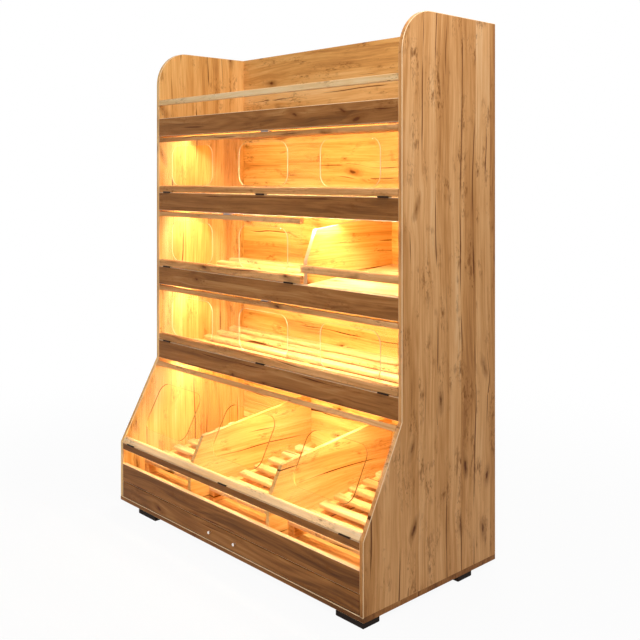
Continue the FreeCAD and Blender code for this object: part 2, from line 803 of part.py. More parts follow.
def pulls(height):
    """Turned button pulls on a short neck, with a bevelled head."""
    body = doc.addObject("PartDesign::Body", "Pull")
    sketch = new_sketch(body, "YZ_Plane")
    tip = -size.pull_reach
    shoulder = tip + size.pull_head
    bevel = size.pull_bevel
    draw_polygon(sketch, [
        (0, 0), (0, size.pull_neck), (shoulder, size.pull_neck), (shoulder, size.pull_radius),
        (tip + bevel, size.pull_radius), (tip, size.pull_radius - bevel), (tip, 0)])
    turned = body.newObject("PartDesign::Revolution", "Turned")
    turned.Profile = sketch
    turned.ReferenceAxis = (origin_part(body, "Y_Axis"), [""])
    turned.Angle = 360
    half = size.pull_spacing / 2
    node("drawer_pulls", copies(body, [(-half, foot_face, height), (half, foot_face, height)]))


# The whole rack ----------------------------------------------------------------------------------------

def check(document):
    """Stops the build at the first failed feature or unsound shape."""
    for thing in document.Objects:
        if "Invalid" in thing.State or "Error" in thing.State:
            raise ValueError(f"{thing.Label} failed: {thing.State}")
    labels = [thing.Label for thing in NODES]
    if len(set(labels)) != len(labels):
        raise ValueError("two sub-parts share a label")
    for thing in NODES:
        if thing.Shape.isNull() or not thing.Shape.isValid() or not thing.Shape.Solids:
            raise ValueError(f"{thing.Label} has no sound solid")


def export():
    os.makedirs("parts", exist_ok=True)
    for thing in NODES:
        thing.Shape.exportStep(f"parts/{thing.Label}.step")


carcass()
back_panel()
feet()
tier2_divider()
bin_dividers()
node("wedge_cleats", together(grates() + open_bay()))
magnetic_catches(flaps())
hinges()
lighting()
cable_gland()
drawer()
doc.recompute()
check(doc)
export()
print(len(NODES), "sub-parts written")
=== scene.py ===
# %% [markdown]
# # A bakery bread rack in rustic oak
# The rack's boards, flaps, hinges and drawer come ready made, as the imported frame. This lesson gives them
# their finishes, adds the small pieces that the frame leaves out, and lights the rack from inside.
# The frame is loaded first, because every later step asks it where a piece is.

# %% Load the frame
import math

import bmesh
import bpy
from mathutils import Matrix, Vector


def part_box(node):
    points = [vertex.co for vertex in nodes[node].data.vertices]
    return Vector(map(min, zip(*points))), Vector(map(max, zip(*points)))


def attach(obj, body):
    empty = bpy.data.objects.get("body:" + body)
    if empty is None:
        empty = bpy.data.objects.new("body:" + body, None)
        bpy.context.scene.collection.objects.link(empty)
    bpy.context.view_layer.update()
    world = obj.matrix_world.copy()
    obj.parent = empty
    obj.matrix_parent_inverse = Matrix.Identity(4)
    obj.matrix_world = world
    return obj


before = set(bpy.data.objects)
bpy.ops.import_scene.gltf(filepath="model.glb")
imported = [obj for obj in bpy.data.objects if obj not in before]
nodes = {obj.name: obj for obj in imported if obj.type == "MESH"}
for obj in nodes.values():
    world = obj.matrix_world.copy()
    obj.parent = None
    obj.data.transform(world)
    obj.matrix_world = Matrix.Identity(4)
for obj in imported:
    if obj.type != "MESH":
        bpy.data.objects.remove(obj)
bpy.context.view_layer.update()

scene = bpy.context.scene

# %% [markdown]
# ## The camera
# A camera in Blender looks along its own -Z. Turned 90 degrees about X it looks level, and a turn about Z
# then aims it. It stands at eye height to the right of the front. A level camera keeps upright boards
# upright in the picture, so the rack is brought into the frame with a vertical shift and not with a tilt.

# %% Camera
SENSOR = 36.0
FRAME_SIDE = 640
FOCAL_PIXELS = 883.75
HORIZON_PIXELS = 177.45

camera = bpy.data.cameras.new("camera")
camera.sensor_width = SENSOR
camera.lens = FOCAL_PIXELS * SENSOR / FRAME_SIDE
camera.shift_y = (HORIZON_PIXELS - FRAME_SIDE / 2) / FRAME_SIDE
camera_object = bpy.data.objects.new("camera", camera)
camera_object.location = (2.688, -2.352, 1.431)
camera_object.rotation_euler = (math.radians(90), 0, math.radians(46.94))
scene.collection.objects.link(camera_object)
scene.camera = camera_object
print("lens:", round(camera.lens, 2), "shift:", round(camera.shift_y, 4))

# %% [markdown]
# ## Colours and nodes
# Colours are written as sRGB hex, as a paint chart gives them. Blender's shaders work in linear light, so
# one function turns them over. A second one adds a node: the inputs come first, as sockets or plain
# values, and the node's own settings follow by name.

# %% Helpers for materials
def colour(code):
    """Linear red, green, blue and alpha of an sRGB hex code."""
    parts = [int(code[i:i + 2], 16) / 255 for i in (1, 3, 5)]
    return tuple(p / 12.92 if p <= 0.04045 else ((p + 0.055) / 1.055) ** 2.4 for p in parts) + (1,)


def add(tree, kind, *inputs, **settings):
    """Adds a node. An input is a socket to link, a value to set, or None to leave as it is."""
    node = tree.nodes.new(kind)
    for name, value in settings.items():
        setattr(node, name, value)
    for socket, value in zip(node.inputs, inputs):
        if isinstance(value, bpy.types.NodeSocket):
            tree.links.new(value, socket)
        elif value is not None:
            socket.default_value = value
    return node


def new_material(name, **values):
    """A Principled material. The values go straight onto the shader's own sockets."""
    material = bpy.data.materials.new(name)
    material.use_nodes = True
    shader = material.node_tree.nodes["Principled BSDF"]
    for socket, value in values.items():
        shader.inputs[socket.replace("_", " ")].default_value = value
    return material, material.node_tree, shader


def dress(material, *names):
    """Gives CAD nodes a material, in place of the plain one they came with."""
    for name in names:
        nodes[name].data.materials.clear()
        nodes[name].data.materials.append(material)

# %% [markdown]
# ## Rustic oak decor
# The boards are chipboard under a printed oak foil, pressed with a satin film. The print shows wide staves
# side by side, each a little lighter or darker, with long streaks, faint growth rings, knots that the grain
# flows round, small flecks and stains in patches, and dark cracks. A picture could carry it, but it would
# repeat and has one size. Here it is made of noise that is stretched along the grain, at sizes in metres, so
# that each board shows another piece of the same tree. The pattern has three directions: across the grain,
# along it, and through the board.
# One function makes every board's oak. All boards carry the same decor, and five palettes of four shades,
# from dark to light, are lit and shaded copies of it: honey is the decor itself, the darker brown is painted
# shade on the fronts, shelves, drawer and base, and golden, pale and cream are painted light on the boards
# inside that the strips light and on the brightest rail, slats, floor and batten. Some boards get a pale band
# on their edges and bevels, a painted highlight where the rounded edge catches the light.

# %% Oak decor
HONEY = ("#824a22", "#c38950", "#dfa76e", "#f0c796")
# Painted shade: a darker copy of the decor for the fronts, drawer, base and shelves.
SHADED_BROWN = ("#563216", "#88562a", "#a36c3a", "#bd8b55")
# Painted light: a pale copy of the decor for the brightly lit gallery rail, slats, bay floor and drawer back.
LIT_PALE = ("#c0905a", "#deb47c", "#ebc998", "#f3dcb6")
# Painted light: a golden copy of the decor for the side, back and inner boards that the strips light.
LIT_GOLDEN = ("#a06a36", "#d39d57", "#e8b873", "#f4d39b")
# Painted light: a cream copy of the decor for the bin flap's bottom batten, whose face leans up into the
# light.
LIT_CREAM = ("#cf9762", "#e9b982", "#f3cc9b", "#f9dfbc")
CRACK = "#5a2a08"
KNOT = "#744114"
# Painted highlight: the pale colour laid on edges and bevels, where the rounded edge band catches the light.
PAINTED_EDGE_HIGHLIGHT = "#e6c49a"

# Where the four shades of a palette stand between the darkest tone and the lightest.
SHADE_STOPS = (0.10, 0.40, 0.62, 0.88)

# Sizes in metres. A pair is across the grain and along it.
KNOT_CELL = (0.13, 0.26)
KNOT_RADII = (0.0075, 0.022)
STAVE_WIDTH = 0.085
STAVE_JUMP = 3.0
CRACK_PITCH = 0.070
CRACK_HALF_WIDTH = 0.0031
CRACK_WAVER = 0.006
WANDER_WIDTH = 0.08
BUMP_HEIGHT = 0.0006

# How far each new board moves through the pattern, and how fast the grain wanders, per metre.
SEED_STEP = (1.37, 2.61, 0.53)
WANDER_RATE = (3.2, 1.1, 3.2)

# A cell holds a knot where its random value passes this range. A knot leans by up to half the slant either
# way, and pushes the grain aside by this share of its radius, less and less further out.
KNOT_CHANCE = (0.65, 0.71)
KNOT_SLANT = 2.4
BULGE_PUSH = 0.7
BULGE_FALLOFF = -0.07
RING_TURNS = 46.0

# From and to a noise value, and the shares that the two ends get.
HALO_RANGE = (0.6, 2.8, 0.60, 0.0)
HEART_RANGE = (0.1, 0.7, 0.9, 0.0)
PATCH_RANGE = (0.50, 0.66, 0.0, 1.0)
ROUGH_RANGE = (0.2, 0.8, 0.38, 0.54)
CRACK_LINE_RANGE = (0.4, 1.0, 1.0, 0.0)
KNOT_RAGGED = 3.2
FLECK_FROM_TO, FLECK_SHARE = (0.60, 0.70), 0.70
STAIN_FROM_TO, STAIN_SHARE = (0.51, 0.70), 0.62
CRACK_OPENING = 0.13

# Noise layers: how wide across the grain, how long along it and how deep through, in metres, and the detail.
LAYERS = {
    "broad": ((0.060, 0.95, 0.10), 2.0), "streak": ((0.007, 0.32, 0.02), 3.0),
    "fibre": ((0.0024, 0.060, 0.004), 2.0), "figure": ((0.075, 0.62, 0.10), 1.0),
    "smudge": ((0.014, 0.040, 0.03), 4.0), "patch": ((0.060, 0.16, 0.06), 2.0),
    "fleck": ((0.0028, 0.017, 0.01), 1.0), "gate": ((0.060, 0.30, 0.10), 1.0)}

# How far each layer moves the tone, and the layer's middle value.
TONE_SHARES = (("stave", 0.20, 0.5), ("broad", 0.86, 0.5), ("streak", 0.46, 0.5), ("fibre", 0.26, 0.5))


def board_space(tree, grain, across, seed):
    """The texture space of a board: across the grain, along it and through, moved on by a seed."""
    through = ({"X", "Y", "Z"} - {grain, across}).pop()
    where = add(tree, "ShaderNodeTexCoord").outputs
    axes = add(tree, "ShaderNodeSeparateXYZ", where["Object"]).outputs
    board = add(tree, "ShaderNodeCombineXYZ", axes[across], axes[grain], axes[through])
    moved = add(tree, "ShaderNodeVectorMath", board.outputs[0], tuple(seed * step for step in SEED_STEP),
                operation="ADD")
    return where["Normal"], moved.outputs[0]


def knot_field(tree, board):
    """Distance to the nearest knot in knot radii, whether it is there, and how it spreads the grain."""
    cells = add(tree, "ShaderNodeVectorMath", board, (1 / KNOT_CELL[0], 1 / KNOT_CELL[1], 0),
                operation="MULTIPLY").outputs[0]
    knots = add(tree, "ShaderNodeTexVoronoi", cells, None, 1.0, voronoi_dimensions="2D")
    away = add(tree, "ShaderNodeVectorMath", cells, knots.outputs["Position"], operation="SUBTRACT")
    radii = (KNOT_CELL[0] / KNOT_RADII[0], KNOT_CELL[1] / KNOT_RADII[1], 0)
    away = add(tree, "ShaderNodeVectorMath", away.outputs[0], radii, operation="MULTIPLY").outputs[0]
    side, up, _ = add(tree, "ShaderNodeSeparateXYZ", away).outputs
    pick = add(tree, "ShaderNodeSeparateColor", knots.outputs["Color"]).outputs
    present = add(tree, "ShaderNodeMapRange", pick[0], *KNOT_CHANCE, 0.0, 1.0).outputs[0]

    # Each knot leans its own way: the further up it, the further it is shifted aside.
    slant = add(tree, "ShaderNodeMath", pick[1], KNOT_SLANT, -KNOT_SLANT / 2,
                operation="MULTIPLY_ADD").outputs[0]
    leaning = add(tree, "ShaderNodeMath", up, slant, side, operation="MULTIPLY_ADD").outputs[0]
    leaned = add(tree, "ShaderNodeCombineXYZ", leaning, up, 0.0).outputs[0]
    reach = add(tree, "ShaderNodeVectorMath", leaned, operation="LENGTH").outputs["Value"]

    squared = add(tree, "ShaderNodeMath", reach, reach, operation="MULTIPLY").outputs[0]
    falloff = add(tree, "ShaderNodeMath", squared, BULGE_FALLOFF, operation="MULTIPLY").outputs[0]
    bulge = add(tree, "ShaderNodeMath", falloff, operation="EXPONENT").outputs[0]
    bulge = add(tree, "ShaderNodeMath", bulge, present, operation="MULTIPLY").outputs[0]
    bulge = add(tree, "ShaderNodeMath", bulge, -BULGE_PUSH * KNOT_RADII[0], operation="MULTIPLY").outputs[0]
    bulge = add(tree, "ShaderNodeMath", bulge, side, operation="MULTIPLY").outputs[0]
    return reach, present, bulge


def grain_layers(tree, board, bulge):
    """The noise layers, in a space that wanders slowly, parts round knots and jumps from stave to stave."""
    slow = add(tree, "ShaderNodeVectorMath", board, WANDER_RATE, operation="MULTIPLY").outputs[0]
    wander = add(tree, "ShaderNodeTexNoise", slow, None, 1.0, 2.0).outputs[0]
    wander = add(tree, "ShaderNodeMath", wander, WANDER_WIDTH, -WANDER_WIDTH / 2,
                 operation="MULTIPLY_ADD").outputs[0]
    shift = add(tree, "ShaderNodeMath", bulge, wander, operation="ADD").outputs[0]
    across = add(tree, "ShaderNodeSeparateXYZ", board).outputs[0]
    stave_at = add(tree, "ShaderNodeMath", across, STAVE_WIDTH, operation="DIVIDE").outputs[0]
    staves = add(tree, "ShaderNodeTexVoronoi", None, stave_at, 1.0, voronoi_dimensions="1D")
    stave_tone = add(tree, "ShaderNodeSeparateColor", staves.outputs["Color"]).outputs
    jump = add(tree, "ShaderNodeMath", stave_tone[1], STAVE_JUMP, operation="MULTIPLY").outputs[0]
    offset = add(tree, "ShaderNodeCombineXYZ", shift, jump, 0.0).outputs[0]
    grain_at = add(tree, "ShaderNodeVectorMath", board, offset, operation="ADD").outputs[0]
    layers = {"stave": stave_tone[0]}
    for layer, (lengths, detail) in LAYERS.items():
        stretched = add(tree, "ShaderNodeVectorMath", grain_at, tuple(1 / length for length in lengths),
                        operation="MULTIPLY").outputs[0]
        layers[layer] = add(tree, "ShaderNodeTexNoise", stretched, None, 1.0, detail).outputs[0]
    rings = add(tree, "ShaderNodeMath", layers["figure"], RING_TURNS, operation="MULTIPLY").outputs[0]
    layers["rings"] = add(tree, "ShaderNodeMath", rings, operation="SINE").outputs[0]
    return layers, add(tree, "ShaderNodeSeparateXYZ", grain_at).outputs[0]


def crack_mask(tree, layers, across, opens_at):
    """Long thin cracks: the borders of narrow strips, opened where a slow noise rises past a level."""
    waver = add(tree, "ShaderNodeMath", layers["streak"], CRACK_WAVER, across,
                operation="MULTIPLY_ADD").outputs[0]
    strip = add(tree, "ShaderNodeMath", waver, CRACK_PITCH, operation="DIVIDE").outputs[0]
    borders = add(tree, "ShaderNodeTexVoronoi", None, strip, 1.0, voronoi_dimensions="1D",
                  feature="DISTANCE_TO_EDGE").outputs["Distance"]
    open_here = add(tree, "ShaderNodeMapRange", layers["gate"], opens_at, opens_at + CRACK_OPENING,
                    0.0, 1.0).outputs[0]
    width = add(tree, "ShaderNodeMath", open_here, CRACK_HALF_WIDTH / CRACK_PITCH, 0.0001,
                operation="MULTIPLY_ADD").outputs[0]
    part = add(tree, "ShaderNodeMath", borders, width, operation="DIVIDE").outputs[0]
    line = add(tree, "ShaderNodeMapRange", part, *CRACK_LINE_RANGE).outputs[0]
    dark = add(tree, "ShaderNodeMath", open_here, 0.5, operation="POWER").outputs[0]
    return add(tree, "ShaderNodeMath", line, dark, operation="MULTIPLY").outputs[0]


def oak(name, grain, across, seed, shades, edge_axis=None, edge_turn=(0.707, 0.25), rings=0.025,
        bands=1.0, marks=1.0, opens_at=0.53):
    """Oak decor with its grain along one axis and its staves side by side along another.

    Faces that are turned by the edge turn, give or take, from the edge axis are drawn pale, a painted
    highlight where the rounded edge band catches the light. Rings is how far the growth rings move the tone.
    Bands and marks make the long bands and the small dark marks stronger or weaker. Cracks open where their
    slow noise passes the last value, so a lower one gives more of them.
    """
    material, tree, shader = new_material(name, Roughness=0.45, Specular_IOR_Level=0.1)
    normal, board = board_space(tree, grain, across, seed)
    reach, present, bulge = knot_field(tree, board)
    layers, across_grain = grain_layers(tree, board, bulge)

    tone = 0.5
    for layer, full_share, middle in (*TONE_SHARES, ("rings", rings, 0.0)):
        share = full_share * (bands if layer in ("stave", "broad") else 1.0)
        scaled = add(tree, "ShaderNodeMath", layers[layer], share, -share * middle, operation="MULTIPLY_ADD")
        tone = add(tree, "ShaderNodeMath", scaled.outputs[0], tone, operation="ADD").outputs[0]
    ramp = add(tree, "ShaderNodeValToRGB", tone)
    for index, (at, code) in enumerate(zip(SHADE_STOPS, shades)):
        stop = ramp.color_ramp.elements[index] if index < 2 else ramp.color_ramp.elements.new(at)
        stop.position = at
        stop.color = colour(code)

    # Knots are mottled smudges with a dark heart. Flecks gather in patches.
    ragged = add(tree, "ShaderNodeMath", layers["smudge"], KNOT_RAGGED, -KNOT_RAGGED / 2,
                 operation="MULTIPLY_ADD").outputs[0]
    knot = add(tree, "ShaderNodeMath", reach, ragged, operation="ADD").outputs[0]
    halo = add(tree, "ShaderNodeMapRange", knot, *HALO_RANGE).outputs[0]
    halo = add(tree, "ShaderNodeMath", halo, present, operation="MULTIPLY").outputs[0]
    heart = add(tree, "ShaderNodeMapRange", knot, *HEART_RANGE).outputs[0]
    heart = add(tree, "ShaderNodeMath", heart, present, operation="MULTIPLY").outputs[0]
    patch = add(tree, "ShaderNodeMapRange", layers["patch"], *PATCH_RANGE).outputs[0]
    fleck = add(tree, "ShaderNodeMapRange", layers["fleck"], *FLECK_FROM_TO, 0.0,
                FLECK_SHARE * marks).outputs[0]
    fleck = add(tree, "ShaderNodeMath", fleck, patch, operation="MULTIPLY").outputs[0]
    stain = add(tree, "ShaderNodeMapRange", layers["smudge"], *STAIN_FROM_TO, 0.0,
                STAIN_SHARE * marks).outputs[0]
    stain = add(tree, "ShaderNodeMath", stain, patch, operation="MULTIPLY").outputs[0]
    crack = crack_mask(tree, layers, across_grain, opens_at)

    shown = ramp.outputs[0]
    overlays = [(stain, KNOT), (fleck, KNOT), (halo, KNOT), (heart, CRACK), (crack, CRACK)]
    if edge_axis:
        facing = add(tree, "ShaderNodeSeparateXYZ", normal).outputs[edge_axis]
        facing = add(tree, "ShaderNodeMath", facing, operation="ABSOLUTE").outputs[0]
        # Painted highlight: faces turned by the edge turn from the edge axis get the pale edge colour.
        edge_highlight = add(tree, "ShaderNodeMath", facing, *edge_turn, operation="COMPARE").outputs[0]
        overlays.append((edge_highlight, PAINTED_EDGE_HIGHLIGHT))
    for mask, code in overlays:
        mix = add(tree, "ShaderNodeMix", mask, data_type="RGBA")
        tree.links.new(shown, mix.inputs[6])
        mix.inputs[7].default_value = colour(code)
        shown = mix.outputs[2]
    tree.links.new(shown, shader.inputs["Base Color"])

    rough = add(tree, "ShaderNodeMapRange", layers["fibre"], *ROUGH_RANGE).outputs[0]
    tree.links.new(rough, shader.inputs["Roughness"])
    dents = add(tree, "ShaderNodeMath", layers["fibre"], crack, operation="SUBTRACT").outputs[0]
    bump = add(tree, "ShaderNodeBump", 0.12, BUMP_HEIGHT)
    tree.links.new(dents, bump.inputs["Height"])
    tree.links.new(bump.outputs[0], shader.inputs["Normal"])
    return material


FLAPS = ("tier1_flap", "tier2_flap", "tier3_flap", "bin_flap")

# The turn from the edge axis that is painted as the highlight of the edge band, and how far from it a face
# may still be.
WHOLE_EDGES = (0.0, 0.5)
EDGES_AND_BEVELS = (0.45, 0.5)

# The brown palette is painted shade, and the golden, pale and cream palettes are painted light: darker and
# lighter copies of one decor.
dress(oak("oak_decor_right", "Z", "Y", 1, HONEY, "X", bands=0.8, marks=1.3, opens_at=0.49),
      "side_panel_right")
dress(oak("oak_decor_left", "Z", "Y", 2, LIT_GOLDEN, "X"), "side_panel_left")
dress(oak("oak_decor_back", "X", "Z", 14, LIT_GOLDEN), "back_panel")
dress(oak("oak_decor_fronts", "X", "Z", 4, SHADED_BROWN, "Y", EDGES_AND_BEVELS, 0.06),
      "fascia_1", "fascia_2", "fascia_3", "fascia_4", "bin_front_board", "bin_rail")
dress(oak("oak_decor_drawer", "X", "Z", 12, SHADED_BROWN, rings=0.09), "drawer_front")
dress(oak("oak_decor_base", "X", "Y", 12, SHADED_BROWN, "Z"), "base_board")
dress(oak("oak_decor_battens", "X", "Z", 5, HONEY),
      "bay_rail", *[f"{flap}_{end}_batten" for flap in FLAPS for end in ("top", "bottom")])
dress(oak("oak_decor_rail", "X", "Z", 9, LIT_PALE), "gallery_rail")
dress(oak("oak_decor_bin_batten", "X", "Z", 11, LIT_CREAM), "bin_flap_bottom_batten")
dress(oak("oak_decor_floors", "X", "Y", 6, HONEY), "shelf_1", "drawer_bottom")
dress(oak("oak_decor_ceiling", "X", "Y", 16, LIT_GOLDEN), "drawer_ceiling")
dress(oak("oak_decor_shelves", "X", "Y", 15, SHADED_BROWN), "shelf_2", "shelf_3", "shelf_4")
dress(oak("oak_decor_divider", "Y", "Z", 7, LIT_GOLDEN, "X", WHOLE_EDGES), "tier2_divider")
dress(oak("oak_decor_inside", "Y", "Z", 10, LIT_GOLDEN), "bin_dividers", "drawer_sides", "wedge_cleats")
dress(oak("oak_decor_slats", "X", "Y", 8, LIT_PALE),
      "tier1_slats", "tier2_slats", "tier3_slats", "bin_slats", "bay_floor", "drawer_back")
print("oak materials:", len([m for m in bpy.data.materials if m.name.startswith("oak")]))

# %% [markdown]
# ## Clear acrylic
# The flaps' sheets are cast acrylic, 4 mm thick and polished. Solid glass would bend each ray twice and
# throw a dark shadow. A flat sheet shows what is behind it unbent, so here it is open, with a thin mirror
# over it. The mirror is weak face on and strong at a glance: the share rises with the fifth power of how
# far the face turns away, much as it does on the real plastic.

# %% Acrylic
MIRROR_FACE_ON = 0.003
MIRROR_RISE = 5.0

acrylic, tree, shader = new_material(
    "clear_acrylic", Base_Color=colour("#ffffff"), Metallic=1.0, Roughness=0.03)
glance = add(tree, "ShaderNodeLayerWeight", 0.5).outputs["Facing"]
mirror = add(tree, "ShaderNodeMath", glance, MIRROR_RISE, operation="POWER").outputs[0]
mirror = add(tree, "ShaderNodeMath", mirror, 1 - MIRROR_FACE_ON, MIRROR_FACE_ON, operation="MULTIPLY_ADD")
opening = add(tree, "ShaderNodeBsdfTransparent", colour("#fafcfc"))
pane = add(tree, "ShaderNodeMixShader", mirror.outputs[0], opening.outputs[0], shader.outputs[0])
tree.links.new(pane.outputs[0], tree.nodes["Material Output"].inputs["Surface"])
dress(acrylic, *[f"{flap}_sheet" for flap in FLAPS])
print("acrylic sheets:", len(FLAPS))

# %% [markdown]
# ## Metals and plastics
# The hinges are steel with a burnished, nearly black skin. The runners and strike plates are zinc plated
# steel, and the drawer's pulls are zinc castings under nickel. The light channels and the driver's case are
# anodised aluminium. The catches are moulded in white ABS, the feet and the cable gland in black
# polypropylene. A metal's colour tells it from plastic, so metals set Metallic to 1 and leave the index
# alone.

# %% Small finishes
def metal(name, code, rough, speck):
    """A metal skin, with its roughness broken up by specks of a real size in metres."""
    material, tree, shader = new_material(name, Base_Color=colour(code), Metallic=1.0, Roughness=rough)
    where = add(tree, "ShaderNodeTexCoord").outputs["Object"]
    grit = add(tree, "ShaderNodeTexNoise", where, None, 1 / speck, 3.0).outputs[0]
    spread = add(tree, "ShaderNodeMapRange", grit, 0.3, 0.7, rough - 0.08, rough + 0.10).outputs[0]
    tree.links.new(spread, shader.inputs["Roughness"])
    return material


def moulded(name, code, rough, grain, shine=0.5):
    """A moulded plastic with the fine leather grain of its tool. Shine is its specular level."""
    material, tree, shader = new_material(
        name, Base_Color=colour(code), Roughness=rough, IOR=1.53, Specular_IOR_Level=shine)
    where = add(tree, "ShaderNodeTexCoord").outputs["Object"]
    skin = add(tree, "ShaderNodeTexNoise", where, None, 1 / grain, 2.0).outputs[0]
    bump = add(tree, "ShaderNodeBump", 0.2, 0.0003)
    tree.links.new(skin, bump.inputs["Height"])
    tree.links.new(bump.outputs[0], shader.inputs["Normal"])
    return material


burnished = metal("burnished_steel", "#33261c", 0.50, 0.003)
plated = metal("zinc_plated_steel", "#c3c5c8", 0.32, 0.004)
dress(burnished, "fixed_hinge_leaves", "hinge_pins", *[f"{flap}_hinge_leaves" for flap in FLAPS])
dress(plated, "runner_channels", "drawer_slides", *[f"{flap}_strike_plate" for flap in FLAPS[:3]])
dress(metal("nickel_plated_zinc", "#e6e2da", 0.22, 0.006), "drawer_pulls")
dress(metal("anodised_aluminium", "#d2d4d6", 0.38, 0.002), "light_channels", "light_driver")
dress(moulded("white_abs", "#f1eee6", 0.35, 0.0015), "magnetic_catches")
dress(moulded("black_polypropylene", "#1c110a", 0.70, 0.0012, 0.12), "feet", "cable_gland")
print("materials so far:", len(bpy.data.materials))

# %% [markdown]
# ## Lit diffusers
# A frosted strip closes each channel under a shelf. Its material emits light, so the rack is lit from
# within, and the warm white of a bakery lamp turns the pale wood to gold; the golden palette on the boards
# inside adds painted light to it.

# %% Diffusers
DIFFUSER_STRENGTH = 245.0
diffuser, _, _ = new_material(
    "frosted_diffuser", Base_Color=colour("#f4ead6"), Roughness=0.6,
    Emission_Color=colour("#fdf0cc"), Emission_Strength=DIFFUSER_STRENGTH)
dress(diffuser, "light_diffusers")
print("diffuser strength:", DIFFUSER_STRENGTH)

# %% [markdown]
# ## Floor, world and studio light
# The rack stands on a plain pale floor under soft light. To the camera, and in glossy or clear
# surfaces, the world is plain white. For every other ray it is a dimmer, even light.
# To the same rays the floor is mostly a plain white glow, so that it stays as pale as the world and still
# shows a shadow. Further out the glow takes over, and the floor runs into the world without an edge.
# The key lamp stands high to the right, the fill in front and the top lamp overhead. A small tinted lamp
# reaches into the open gallery, and the rear lamp lights the back for the views from behind.

# %% Stage
WORLD_LIGHT = 0.20
FLOOR_HALF_SIDE = 15
FLOOR_GREY = 0.6
FLOOR_GLOW = 0.94
FLOOR_FADE = (1.0, 3.2)

# Each lamp's name, place, target, sides in metres and watts, and its colour if it isn't white.
STUDIO_LAMPS = (
    ("key", (2.4, -1.0, 3.5), (0, 0, 1.4), (1.5, 1.5), 80),
    ("fill", (-0.5, -5.0, 1.9), (0, 0, 0.8), (3.0, 3.0), 64),
    ("top", (0.0, -0.6, 4.6), (0, 0, 1.0), (2.4, 2.4), 15),
    ("gallery", (0.7, 0.1, 2.6), (-0.72, 0.1, 1.8), (0.5, 0.5), 5, "#ffd9c4"),
    ("rear", (-2.2, 4.2, 2.6), (0, 0, 1.0), (3.0, 3.0), 150))


def seen_directly(tree):
    """1 for rays from the camera and by way of glossy or clear surfaces, and 0 for all others."""
    rays = add(tree, "ShaderNodeLightPath").outputs
    seen = add(tree, "ShaderNodeMath", rays["Is Camera Ray"], rays["Is Glossy Ray"],
               operation="MAXIMUM").outputs[0]
    return add(tree, "ShaderNodeMath", seen, rays["Is Transmission Ray"], operation="MAXIMUM").outputs[0]


world = bpy.data.worlds.new("studio")
scene.world = world
world.use_nodes = True
tree = world.node_tree
level = add(tree, "ShaderNodeMapRange", seen_directly(tree), 0.0, 1.0, WORLD_LIGHT, 1.0).outputs[0]
background = tree.nodes["Background"]
background.inputs["Color"].default_value = (1, 1, 1, 1)
tree.links.new(level, background.inputs["Strength"])

floor_mesh = bmesh.new()
bmesh.ops.create_grid(floor_mesh, x_segments=1, y_segments=1, size=FLOOR_HALF_SIDE)
floor_data = bpy.data.meshes.new("floor")
floor_mesh.to_mesh(floor_data)
floor_mesh.free()
floor = bpy.data.objects.new("floor", floor_data)
scene.collection.objects.link(floor)
pale_floor, tree, shader = new_material("pale_floor", Base_Color=(*[FLOOR_GREY] * 3, 1), Roughness=0.8)
seen = seen_directly(tree)
where = add(tree, "ShaderNodeTexCoord").outputs["Object"]
distance = add(tree, "ShaderNodeVectorMath", where, operation="LENGTH").outputs["Value"]
share = add(tree, "ShaderNodeMapRange", distance, *FLOOR_FADE, FLOOR_GLOW, 1.0,
            interpolation_type="SMOOTHSTEP")
share = add(tree, "ShaderNodeMath", seen, share.outputs[0], operation="MULTIPLY").outputs[0]
glow = add(tree, "ShaderNodeEmission", (1, 1, 1, 1), 1.0)
mixed = add(tree, "ShaderNodeMixShader", share, shader.outputs[0], glow.outputs[0])
tree.links.new(mixed.outputs[0], tree.nodes["Material Output"].inputs["Surface"])
floor_data.materials.append(pale_floor)


def softbox(name, place, target, sides, watts, code="#ffffff"):
    """A rectangular soft lamp at one point, aimed at another. The camera never sees the lamp itself."""
    lamp = bpy.data.lights.new(name, "AREA")
    lamp.shape = "RECTANGLE"
    lamp.size, lamp.size_y = sides
    lamp.energy = watts
    lamp.color = colour(code)[:3]
    item = bpy.data.objects.new(name, lamp)
    item.location = place
    item.rotation_euler = (Vector(target) - Vector(place)).to_track_quat("-Z", "Y").to_euler()
    item.visible_camera = False
    scene.collection.objects.link(item)
    return item


for lamp in STUDIO_LAMPS:
    softbox(*lamp)
print("studio lamps:", len(STUDIO_LAMPS))

# %% [markdown]
# ## Bounced light
# Between pale boards the strips' light bounces many times and turns a deeper yellow each time. A few bounces
# don't carry all of it, so lamps that the real rack doesn't have make up for what is missing. A long, low one
# hangs behind the top of each flap and aims at the back, and three small ones light the front of the bin.
# Their strengths are matched by trial, and mirrors don't show them.

# %% Bounce lamps
BOUNCE_COLOUR = "#ffe298"
BOUNCE_WATTS = {1: 5.2, 2: 9.0, 3: 8.0, 4: 9.5}
BOUNCE_SIDES = (1.25, 0.04)
BEHIND_FACE, BELOW_SHELF = 0.02, 0.03
AIM_BACK, AIM_DOWN = 0.45, 0.12
BIN_BOUNCE_WATTS = 1.1
BIN_BOUNCE_SIDES = (0.28, 0.06)
BIN_BOUNCE_PLACES = (-0.48, 0.0, 0.48)
BEHIND_RAIL, ABOVE_RAIL, AIM_BEHIND_RAIL = 0.07, 0.16, 0.11

bounces = []
for number, watts in BOUNCE_WATTS.items():
    shelf_low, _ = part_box(f"shelf_{number}")
    start = (0, shelf_low.y + BEHIND_FACE, shelf_low.z - BELOW_SHELF)
    target = (0, start[1] + AIM_BACK, start[2] - AIM_DOWN)
    bounces.append(softbox(f"bounce_{number}", start, target, BOUNCE_SIDES, watts, BOUNCE_COLOUR))

